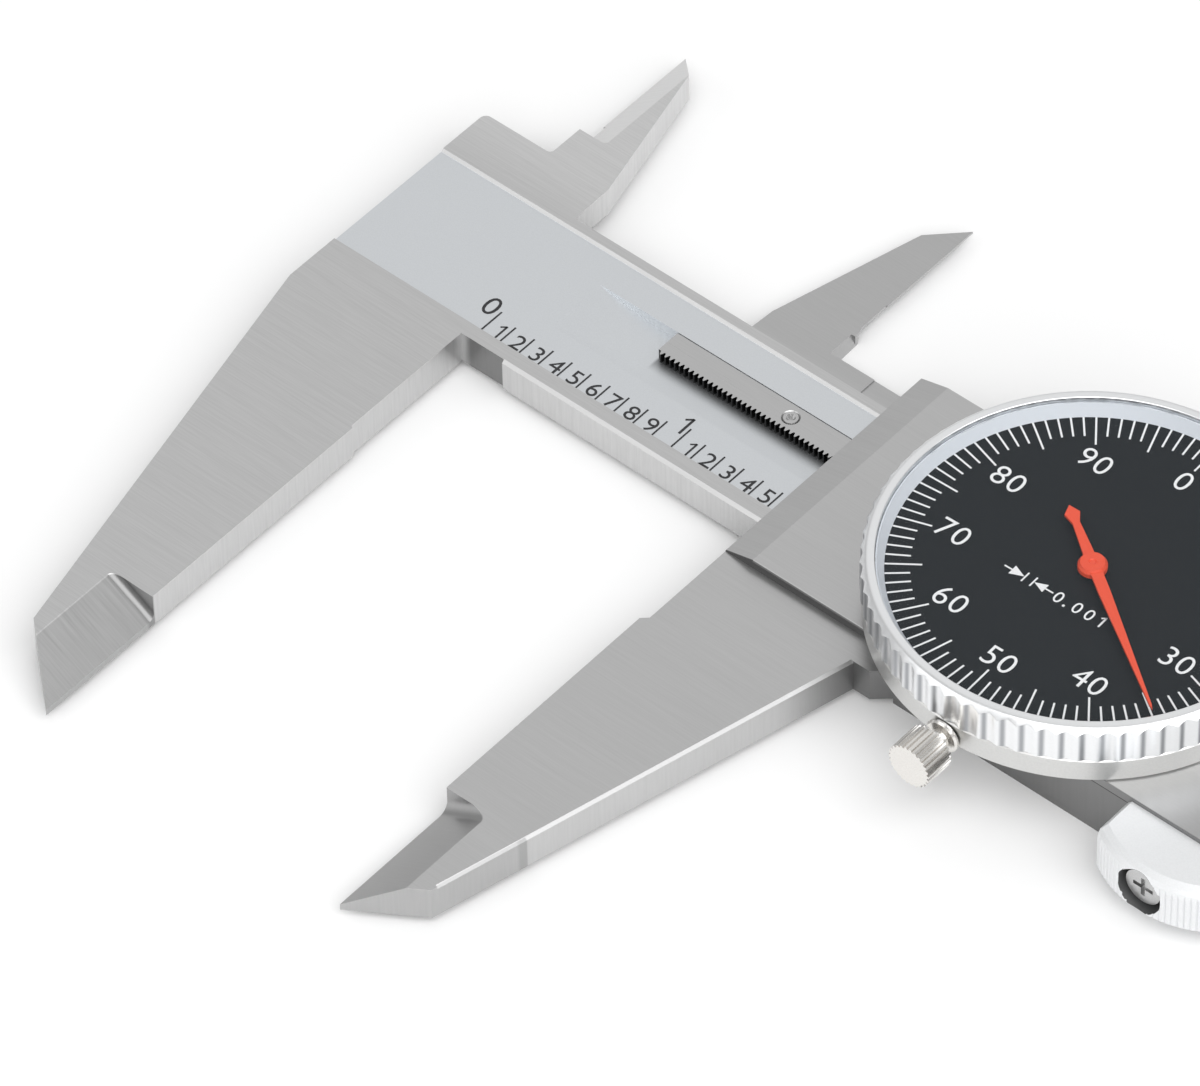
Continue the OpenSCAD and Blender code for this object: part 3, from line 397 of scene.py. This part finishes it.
FINISHES = {
    "beam": beam_steel(),
    "body": ground_steel("slider_steel", 0.56, painted_shading=SLIDER_PAINTED_SHADING),
    "plate": ground_steel("front_plate_steel", 0.56, painted_shading=PLATE_PAINTED_SHADE),
    "rod": ground_steel("rod_steel", 0.52),
    "rack": ground_steel("rack_steel", 0.54, roughness=0.3, painted_shading=RACK_PAINTED_SHADE),
    "screws": turned_metal("screw_steel", (0.56, 0.56, 0.56), 0.32, spread=0.1),
    "cover": ground_steel("cover_satin_chrome", 0.62, spread=0.05, along=900.0,
                          painted_shading=COVER_PAINTED_SHADE),
    "bezel": bezel_metal(),
    "case": turned_metal("case_aluminium", (0.68, 0.68, 0.67), 0.34, grain_scale=4000.0,
                         spread=0.04),
    "ring": turned_metal("ring_white", (0.66, 0.70, 0.75), 0.4, metallic=0.0, spread=0.02),
    "brass": turned_metal("movement_brass", (0.72, 0.55, 0.25), 0.35),
    "dial": turned_metal("dial_black", (0.009, 0.011, 0.0125), 0.6, metallic=0.0,
                         grain_scale=3000.0, spread=0.12, gloss=0.15),
    "needle": turned_metal("needle_red", (0.78, 0.075, 0.025), 0.42, metallic=0.0, spread=0.03),
    "knobs": turned_metal("knob_nickel", (0.80, 0.78, 0.75), 0.2),
    "bracket": turned_metal("thumb_white_aluminium", (0.80, 0.81, 0.82), 0.45, metallic=0.4,
                            spread=0.03, painted_shading=BRACKET_PAINTED_SHADE),
    "roller": turned_metal("roller_steel", (0.30, 0.30, 0.31), 0.35),
    "crystal": crystal_acrylic(),
    "black_ink": printed_ink("scale_black_ink", (0.02, 0.02, 0.022)),
    "white_ink": printed_ink("dial_white_ink", (0.85, 0.86, 0.87)),
}

FINISH_NODES = {
    "beam": ("beam",),
    "body": ("slider_body", "back_plate", "end_stop"),
    "plate": ("front_plate",),
    "rod": ("depth_rod",),
    "rack": ("rack",),
    "screws": (
        "rack_rivets", "roller_pin", "takeup_spring", "drive_arbor", "centre_arbor",
        "depth_rod_rivets", "end_stop_screws", "front_plate_screws", "cover_screws",
        "back_plate_screws", "gib_screws", "dial_case_screws", "movement_screws",
        "bridge_screws", "thumb_bracket_screw", "thumb_bracket_pin",
    ),
    "cover": ("cover",),
    "case": ("dial_case",),
    "bezel": ("bezel",),
    "ring": ("dial_ring",),
    "brass": (
        "gib", "movement_plate", "movement_pillars", "movement_bridge", "drive_gear",
        "takeup_gear", "lock_shoe",
    ),
    "dial": ("dial_face",),
    "needle": ("needle",),
    "crystal": ("crystal",),
    "knobs": ("bezel_lock_screw", "slider_lock_screw"),
    "bracket": ("thumb_bracket",),
    "roller": ("thumb_roller",),
}

for finish_name, node_names in FINISH_NODES.items():
    for node_name in node_names:
        node = nodes[node_name]
        if not node.material_slots:
            node.data.materials.append(FINISHES[finish_name])
        for slot in node.material_slots:
            slot.material = FINISHES[finish_name]


# ---------------------------------------------------------------- printing

INK_T = 0.02
# Middle to middle of two figures, for their height
FIGURE_PITCH = 0.78

# Beam scale: foot of the lines, their width, and the two kinds of line
SCALE_BASE_Y = -8.1
SCALE_LINE_LOW = 0.12
SCALE_LINE_W = 0.19
INCH_LINE = 3.33
TENTH_LINE = 2.6
INCH_FIGURE = {"height": 2.5, "stroke": 0.28, "weight": -0.004, "squeeze": 1.05}
TENTH_FIGURE = {"height": 1.95, "stroke": 0.22, "weight": -0.002, "squeeze": 1.08}

# Dial: its turn in degrees at rest, and the radii of its lines and figures
DIAL_TURN = 1.74
DIAL_EDGE = 20.44
DIAL_FIFTH = 16.72
DIAL_SINGLE = 17.90
DIAL_LINE_W = 0.2
DIAL_FIGURE = {"height": 2.5, "stroke": 0.28, "weight": -0.006}
DIAL_FIGURE_REACH = (14.95, 14.5, 14.5, 14.4, 14.66, 15.03, 14.5, 14.5, 14.5, 14.5)

# Graduation sign: two arrows (side, and X of tail, base and bar), and its value
SIGN_Y = -4.87
SIGN_LINE_W = 0.17
SIGN_ARROWS = ((1, -7.08, -6.2, -4.6), (-1, -1.19, -2.1, -3.56))
SIGN_BAR = 1.35
SIGN_FIGURE = 1.45
SIGN_ZEROS_X = (-0.39, 1.9, 3.4)
SIGN_POINT_X = 0.63
SIGN_ONE_X = 4.8


def piece_from(bm, name, finish, body):
    """Turns a bmesh in the layout's millimetres into a piece on a body."""
    bmesh.ops.transform(bm, matrix=to_frame(), verts=bm.verts)
    bmesh.ops.recalc_face_normals(bm, faces=bm.faces)
    mesh = bpy.data.meshes.new(name)
    bm.to_mesh(mesh)
    bm.free()
    piece = bpy.data.objects.new(name, mesh)
    bpy.context.scene.collection.objects.link(piece)
    piece.data.materials.append(FINISHES[finish])
    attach(piece, body)
    return piece


def add_bar(bm, centre, size, turn=0.0):
    """Adds a printed line: a thin bar about its own centre, turned about Z."""
    place = (Matrix.Translation(centre) @ Matrix.Rotation(turn, 4, "Z")
             @ Matrix.Diagonal((*size, 1.0)))
    bmesh.ops.create_cube(bm, size=1.0, matrix=place)


def add_figure(bm, text, centre, height, weight=0.0, squeeze=1.0):
    """Adds a printed figure, height mm tall, about its own centre."""
    curve = bpy.data.curves.new("figures", "FONT")
    curve.body = text
    curve.size = 1.0
    curve.offset = weight
    curve.align_x = "CENTER"
    curve.align_y = "CENTER"
    curve.extrude = 0.5
    curve.resolution_u = 4
    carrier = bpy.data.objects.new("figures", curve)
    bpy.context.scene.collection.objects.link(carrier)
    bpy.context.view_layer.update()
    mesh = bpy.data.meshes.new_from_object(carrier)
    bpy.data.objects.remove(carrier)
    low = [min(v.co[i] for v in mesh.vertices) for i in range(3)]
    high = [max(v.co[i] for v in mesh.vertices) for i in range(3)]
    middle = Vector([(a + b) / 2 for a, b in zip(low, high)])
    factor = height / (high[1] - low[1])
    mesh.transform(
        Matrix.Translation(centre) @ Matrix.Diagonal((factor * squeeze, factor, INK_T, 1.0))
        @ Matrix.Translation(-middle)
    )
    bm.from_mesh(mesh)
    bpy.data.meshes.remove(mesh)


def add_one(bm, centre, height, stroke):
    """Adds the figure 1: a stem with a slanting flag at its top."""
    x, y, z = centre
    stem_x = x + 0.12 * height
    flag = 0.36 * height
    slope = math.radians(38)
    flag_spot = (stem_x - math.cos(slope) * flag / 2, y + height / 2 - 0.14 * height, z)
    add_bar(bm, (stem_x, y, z), (stroke, height, INK_T))
    add_bar(bm, flag_spot, (flag, stroke * 0.85, INK_T), slope)


def add_figures(bm, text, centre, height, stroke, weight, squeeze=1.0):
    """Adds a number, figure by figure, about its own centre."""
    x, y, z = centre
    for k, figure in enumerate(text):
        spot = (x + (k - (len(text) - 1) / 2) * FIGURE_PITCH * height, y, z)
        if figure == "1":
            add_one(bm, spot, height, stroke)
        else:
            add_figure(bm, figure, spot, height, weight, squeeze)


def print_beam_scale():
    """Twelve inches of tenths, with a figure beside each line."""
    lines, figures = bmesh.new(), bmesh.new()
    level = RECESS_Z + INK_T / 2
    for i in range(121):
        x = SCALE_ZERO_X + i * TENTH
        whole = i % 10 == 0
        length = INCH_LINE if whole else TENTH_LINE
        spot = (x, SCALE_BASE_Y + length / 2 + SCALE_LINE_LOW, level)
        add_bar(lines, spot, (SCALE_LINE_W, length, INK_T))
        if whole:
            # The 1 is narrow, so it stands nearer to its line
            shift = 0.89 if i == 10 else 1.33
            spot = (x - shift, SCALE_BASE_Y + 3.45, level)
            add_figures(figures, str(i // 10), spot, **INCH_FIGURE)
        else:
            spot = (x - 0.95, SCALE_BASE_Y + 1.3, level)
            add_figures(figures, str(i % 10), spot, **TENTH_FIGURE)
    piece_from(lines, "beam_scale_lines", "black_ink", "beam_group")
    piece_from(figures, "beam_scale_figures", "black_ink", "beam_group")


def dial_spot(angle, radius):
    """A point of the dial at an angle from its top."""
    return (-math.sin(angle) * radius, math.cos(angle) * radius, 0)


def print_dial():
    """A hundred lines, longer at every fifth, with figures at the tens."""
    lines, figures, sign = bmesh.new(), bmesh.new(), bmesh.new()
    for i in range(100):
        angle = -i * 2 * math.pi / 100
        inner = DIAL_FIFTH if i % 5 == 0 else DIAL_SINGLE
        spot = dial_spot(angle, (inner + DIAL_EDGE) / 2)
        add_bar(lines, spot, (DIAL_LINE_W, DIAL_EDGE - inner, INK_T), angle)
    for i, reach in enumerate(DIAL_FIGURE_REACH):
        spot = dial_spot(-i * 2 * math.pi / 10, reach)
        add_figures(figures, str(i * 10), spot, **DIAL_FIGURE)
    draw_sign(sign)
    level = DIAL_TOP + INK_T / 2
    turned = Matrix.Rotation(math.radians(DIAL_TURN), 4, "Z")
    centre = Matrix.Translation((DIAL_X, 0, level)) @ turned
    for bm, name in (
        (lines, "dial_lines"), (figures, "dial_figures"), (sign, "dial_graduation_sign"),
    ):
        bmesh.ops.transform(bm, matrix=centre, verts=bm.verts)
        piece_from(bm, name, "white_ink", "bezel_group")


def draw_sign(sign):
    """Two arrows that point at one graduation, and its value."""
    for side, tail, base, bar in SIGN_ARROWS:
        shaft = (abs(tail - base) + 0.1, SIGN_LINE_W, INK_T)
        add_bar(sign, ((tail + base) / 2, SIGN_Y, 0), shaft)
        add_bar(sign, (bar, SIGN_Y, 0), (SIGN_LINE_W, SIGN_BAR, INK_T))
        head = abs(bar - base) - 0.1
        bmesh.ops.create_cone(
            sign, cap_ends=True, segments=3, radius1=head * 2 / 3, radius2=head * 2 / 3,
            depth=INK_T,
            matrix=Matrix.Translation((base + side * head / 3, SIGN_Y, 0))
            @ Matrix.Diagonal((1.0, 0.72, 1.0, 1.0)) @ Matrix.Rotation(-side * math.pi / 2, 4, "Z"),
        )
    value_y = SIGN_Y - 0.1
    for x in SIGN_ZEROS_X:
        add_figure(sign, "0", (x, value_y, 0), SIGN_FIGURE)
    add_bar(sign, (SIGN_POINT_X, SIGN_Y - 0.7, 0), (0.26, 0.26, INK_T))
    add_one(sign, (SIGN_ONE_X, value_y, 0), SIGN_FIGURE, 0.2)


# ---------------------------------------------------------------- bezel

FLUTES = 72
FLUTE_RIDGE = 22.9
FLUTE_VALLEY = 22.58
# How much the middle of each flat is hollowed
FLAT_HOLLOW = 0.03
BAND_Z = 10.31
# Where the lip starts at the ridges, how steeply it rises, and its top
LIP_FOOT_Z = 13.95
LIP_SLOPE = 1.1
LIP_Z = 14.71
# Radius and height of each corner of the turned ring
BEZEL_TURNING = (
    (20.5, 8.06), (20.95, 8.06), (20.95, 8.96), (21.1, 8.96), (21.1, BAND_Z),
    (FLUTE_RIDGE, BAND_Z), (FLUTE_RIDGE, LIP_FOOT_Z), (22.4, 14.58), (22.25, 14.67),
    (22.05, LIP_Z), (21.47, LIP_Z), (21.4, 14.66), (21.4, 12.31), (20.5, 12.31),
)
STEPS_PER_FLUTE = 4
SHARP_EDGE = math.radians(22)


def flute_radius(x, y):
    """Radius of the fluted band in the direction of a point."""
    turn = math.degrees(math.atan2(y, x)) * FLUTES / 360
    share = abs(2 * (turn - math.floor(turn)) - 1)
    radius = FLUTE_VALLEY + (FLUTE_RIDGE - FLUTE_VALLEY) * share
    on_flat = 0.1 < share < 0.9
    return radius - FLAT_HOLLOW if on_flat else radius


def turn_bezel():
    """The bezel as a turned ring whose band is cut with flutes of two flats."""
    bm = bmesh.new()
    corners = [bm.verts.new((radius, 0, z)) for radius, z in BEZEL_TURNING]
    outline = [bm.edges.new(pair) for pair in zip(corners, corners[1:] + corners[:1])]
    bmesh.ops.spin(bm, geom=corners + outline, cent=(0, 0, 0), axis=(0, 0, 1), angle=2 * math.pi,
                   steps=FLUTES * STEPS_PER_FLUTE, use_merge=True)
    for vert in bm.verts:
        radius = math.hypot(vert.co.x, vert.co.y)
        if radius < FLUTE_RIDGE - 0.01:
            continue
        cut = flute_radius(vert.co.x, vert.co.y)
        vert.co.xy = vert.co.xy * (cut / radius)
        if vert.co.z > (BAND_Z + LIP_FOOT_Z) / 2:
            vert.co.z = LIP_FOOT_Z + (FLUTE_RIDGE - cut) * LIP_SLOPE
    for face in bm.faces:
        face.smooth = True
    for edge in bm.edges:
        edge.smooth = edge.calc_face_angle(0.0) < SHARP_EDGE
    bmesh.ops.transform(bm, matrix=Matrix.Translation((DIAL_X, 0, 0)), verts=bm.verts)
    return piece_from(bm, "bezel_fluted", "bezel", "bezel_group")


print_beam_scale()
print_dial()
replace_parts(turn_bezel(), "bezel")


# ---------------------------------------------------------------- studio

# Soft lights of the studio's walls: direction, half width in degrees, strength
GLOWS = (
    ((-0.46, 0.50, 0.71), 38.0, 0.34),
    ((-0.42, -0.74, 0.52), 24.0, 1.15),
    ((0.82, 0.22, 0.53), 22.0, 0.75),
)
ROOM = 0.50

# The lamp: place and size in metres, watts, and the layout's point it looks at
LAMP_SPOT = (0.95, -0.55, 1.25)
LAMP_SIZE = 2.2
LAMP_WATTS = 27.0
LAMP_AIM = (60, 0, 0)

# The camera: lens and sensor in mm, place in the layout, and its two axes
LENS = 288.0
SENSOR_WIDTH = 36.0
CAMERA_SPOT = (458.94, -502.27, 713.01)
CAMERA_RIGHT = Vector((0.75683, 0.6534, -0.01637))
CAMERA_UP = Vector((-0.47545, 0.56755, 0.67218))


def studio_floor():
    """A white table top under the caliper."""
    low = min(corner[2] for corner in cad_box)
    bm = bmesh.new()
    bmesh.ops.create_grid(bm, x_segments=1, y_segments=1, size=4.0,
                          matrix=Matrix.Translation((0.2, 0, low)))
    mesh = bpy.data.meshes.new("table_top")
    bm.to_mesh(mesh)
    bm.free()
    floor = bpy.data.objects.new("table_top", mesh)
    bpy.context.scene.collection.objects.link(floor)
    mesh.materials.append(Finish("table_white", (0.96, 0.96, 0.96), 0.7).material)


def studio_room():
    """An even pale room with soft glows."""
    world = bpy.data.worlds.new("studio")
    bpy.context.scene.world = world
    world.use_nodes = True
    room = Nodes(world.node_tree)
    background = room.tree.nodes["Background"]
    way = room.add("ShaderNodeTexCoord").outputs["Generated"]
    total = ROOM
    for direction, width, strength in GLOWS:
        cosine = room.vectors("DOT_PRODUCT", way, Vector(direction).normalized())
        source = (math.cos(math.radians(width)), 1.0)
        glow = room.stretch(cosine, source, (0.0, strength), "SMOOTHSTEP")
        total = room.maths("ADD", total, glow)
    room.feed(background.inputs["Color"], (1.0, 1.0, 1.0, 1.0))
    room.feed(background.inputs["Strength"], total)


def studio_lamp():
    """A large soft lamp near the camera."""
    lamp = bpy.data.lights.new("softbox_camera", "AREA")
    lamp.energy = LAMP_WATTS
    lamp.size = LAMP_SIZE
    holder = bpy.data.objects.new("softbox_camera", lamp)
    bpy.context.scene.collection.objects.link(holder)
    aim = at(*LAMP_AIM) - Vector(LAMP_SPOT)
    turn = aim.to_track_quat("-Z", "Y").to_matrix().to_4x4()
    holder.matrix_world = Matrix.Translation(LAMP_SPOT) @ turn


def photo_camera():
    """The photograph's view: a long lens, above the caliper's front."""
    camera = bpy.data.cameras.new("photo_camera")
    camera.sensor_fit = "HORIZONTAL"
    camera.sensor_width = SENSOR_WIDTH
    camera.lens = LENS
    camera.clip_start = 0.05
    camera.clip_end = 20.0
    holder = bpy.data.objects.new("photo_camera", camera)
    bpy.context.scene.collection.objects.link(holder)
    back = CAMERA_RIGHT.cross(CAMERA_UP)
    turn = Matrix((CAMERA_RIGHT, CAMERA_UP, back)).transposed().to_4x4()
    holder.matrix_world = Matrix.Translation(at(*CAMERA_SPOT)) @ turn
    bpy.context.scene.camera = holder


studio_floor()
studio_room()
studio_lamp()
photo_camera()
bpy.context.scene.view_settings.view_transform = "Standard"
